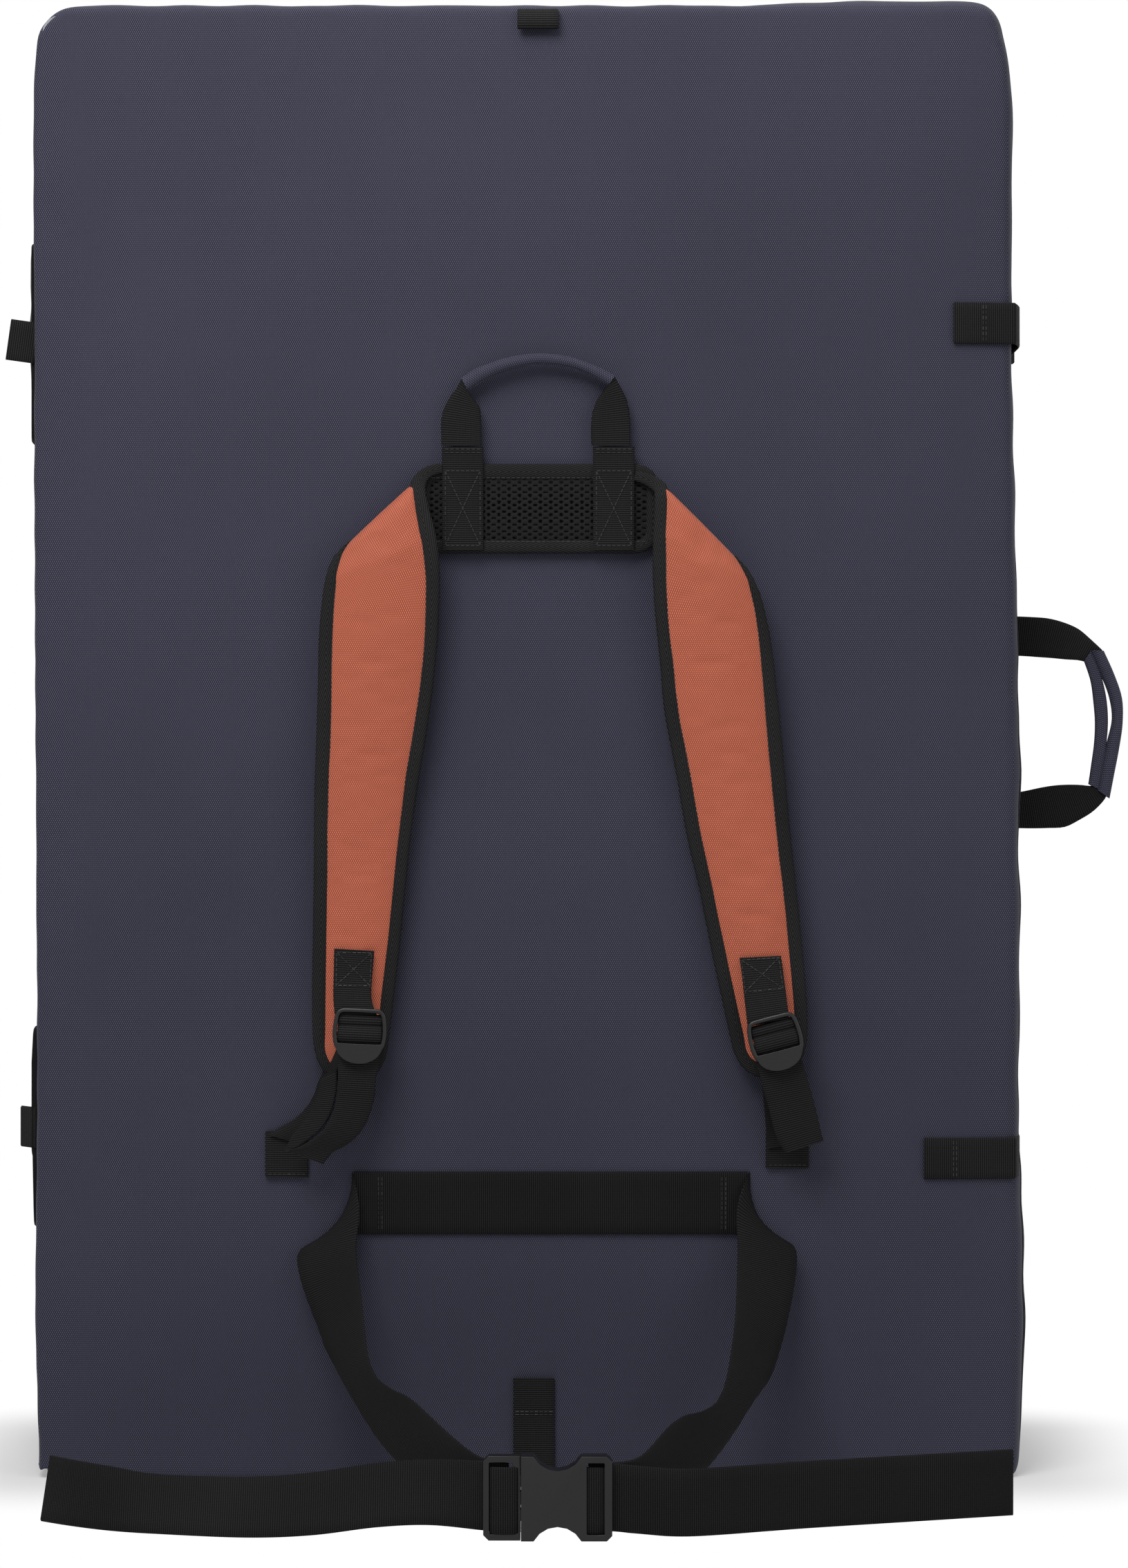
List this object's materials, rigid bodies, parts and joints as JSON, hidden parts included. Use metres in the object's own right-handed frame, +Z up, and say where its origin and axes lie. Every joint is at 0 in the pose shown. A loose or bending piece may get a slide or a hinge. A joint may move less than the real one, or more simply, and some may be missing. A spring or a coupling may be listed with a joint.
{
  "type": "folding bouldering crash pad",
  "caption": "Folding foam landing pad carried like a backpack, with padded shoulder straps, hip belt, handles and edge closures.",
  "frame": {"origin": "middle of the front half's flat base, on the floor, with the pad folded and stood on its short edge", "axes": "+Z up along the pad's height, -Y out of the harness face towards the wearer, +X towards the opening side with the carry handle"},
  "size_m": [0.6869, 0.4005, 0.8919],
  "materials": {
    "cover_navy": "woven ballistic cloth, dull",
    "cover_black": "coated cloth, dull",
    "foam_firm": "closed-cell foam",
    "foam_soft": "open-cell foam",
    "webbing": "ribbed webbing, dull",
    "binding": "folded tape, dull",
    "spacer_mesh": "open spacer mesh",
    "shoulder_mesh": "open spacer mesh",
    "grip_navy": "woven ballistic cloth, dull",
    "flap_black": "soft loop pile",
    "moulded_plastic": "moulded, satin"
  },
  "bodies": {
    "front_half": {"front_base_cover": "cover_navy", "front_landing_cover": "cover_black", "front_landing_foam": "foam_firm", "front_core_foam": "foam_soft", "front_base_foam": "foam_firm", "front_hinge_leaf": "cover_black", "yoke_binding": "binding", "yoke_mesh": "spacer_mesh", "left_haul_foot": "webbing", "right_haul_foot": "webbing", "lumbar_patch": "webbing", "left_anchor_tab": "webbing", "right_anchor_tab": "webbing", "left_lower_webbing": "webbing", "right_lower_webbing": "webbing", "upper_closure_strap": "webbing", "lower_closure_strap": "webbing", "top_tab": "webbing", "bottom_strap": "webbing"},
    "rear_half": {"rear_base_cover": "cover_navy", "rear_landing_cover": "cover_black", "rear_landing_foam": "foam_firm", "rear_core_foam": "foam_soft", "rear_base_foam": "foam_firm", "rear_hinge_leaf": "cover_black", "upper_catch_loop": "webbing", "lower_catch_loop": "webbing"},
    "haul_handle": {"haul_handle_webbing": "webbing", "haul_handle_grip": "grip_navy"},
    "left_strap": {"left_shoulder_pad": "shoulder_mesh", "left_strap_binding": "binding", "left_strap_tab": "webbing"},
    "left_lock": {"left_ladder_lock": "moulded_plastic", "left_strap_tail": "webbing"},
    "right_strap": {"right_shoulder_pad": "shoulder_mesh", "right_strap_binding": "binding", "right_strap_tab": "webbing"},
    "right_lock": {"right_ladder_lock": "moulded_plastic", "right_strap_tail": "webbing"},
    "belt": {"left_belt_wing": "webbing", "right_belt_wing": "webbing", "right_belt_tail": "webbing", "buckle_female": "moulded_plastic"},
    "buckle_male_side": {"buckle_male": "moulded_plastic", "left_belt_tail": "webbing"},
    "upper_hook": {"upper_hook": "moulded_plastic"},
    "lower_hook": {"lower_hook": "moulded_plastic"},
    "upper_flap": {"upper_flap": "flap_black", "upper_pull_tab": "webbing"},
    "lower_flap": {"lower_flap": "flap_black", "lower_pull_tab": "webbing"},
    "carry_handle": {"carry_handle_webbing": "webbing", "carry_handle_grip": "grip_navy"}
  },
  "joints": [
    {"name": "fold", "type": "hinge", "parent": "front_half", "child": "rear_half", "pos_m": [-0.306, 0.0465, 0], "axis": [0, 0, 1], "range_deg": [0, 180]},
    {"name": "haul_handle_swing", "type": "hinge", "parent": "front_half", "child": "haul_handle", "pos_m": [0.0081, -0.0595, 0.623], "axis": [1, 0, 0], "range_deg": [0, 90], "stiffness_Nm_per_rad": 0.1},
    {"name": "left_strap_swing", "type": "hinge", "parent": "front_half", "child": "left_strap", "pos_m": [-0.0655, -0.0514, 0.612], "axis": [-1, 0, 0], "range_deg": [0, 30]},
    {"name": "left_lock_tilt", "type": "hinge", "parent": "left_strap", "child": "left_lock", "pos_m": [-0.09774, -0.07516, 0.28348], "axis": [-0.9986, 0, 0.0523], "range_deg": [0, 40]},
    {"name": "right_strap_swing", "type": "hinge", "parent": "front_half", "child": "right_strap", "pos_m": [0.0817, -0.0514, 0.612], "axis": [-1, 0, 0], "range_deg": [0, 30]},
    {"name": "right_lock_tilt", "type": "hinge", "parent": "right_strap", "child": "right_lock", "pos_m": [0.14749, -0.07487, 0.27768], "axis": [-0.9781, 0, -0.2079], "range_deg": [0, 40]},
    {"name": "belt_swing", "type": "hinge", "parent": "front_half", "child": "belt", "pos_m": [0.0157, -0.051, 0.1863], "axis": [-1, 0, 0], "range_deg": [0, 45]},
    {"name": "buckle_release", "type": "slide", "parent": "belt", "child": "buckle_male_side", "axis": [-1, 0, 0], "range_m": [0, 0.03]},
    {"name": "upper_hook_turn", "type": "hinge", "parent": "front_half", "child": "upper_hook", "pos_m": [0.30478, 0.072, 0.6987], "axis": [0, 0, -1], "range_deg": [0, 60]},
    {"name": "lower_hook_turn", "type": "hinge", "parent": "front_half", "child": "lower_hook", "pos_m": [0.30478, 0.072, 0.1937], "axis": [0, 0, -1], "range_deg": [0, 60]},
    {"name": "upper_flap_peel", "type": "hinge", "parent": "front_half", "child": "upper_flap", "pos_m": [-0.29847, 0.0356, 0.688], "axis": [0, 0, 1], "range_deg": [-110, 0]},
    {"name": "lower_flap_peel", "type": "hinge", "parent": "front_half", "child": "lower_flap", "pos_m": [-0.29847, 0.0356, 0.211], "axis": [0, 0, 1], "range_deg": [-110, 0]},
    {"name": "carry_handle_swing", "type": "hinge", "parent": "front_half", "child": "carry_handle", "pos_m": [0.29718, 0.039, 0.459], "axis": [0, 0, 1], "range_deg": [-25, 25], "stiffness_Nm_per_rad": 0.2}
  ]
}
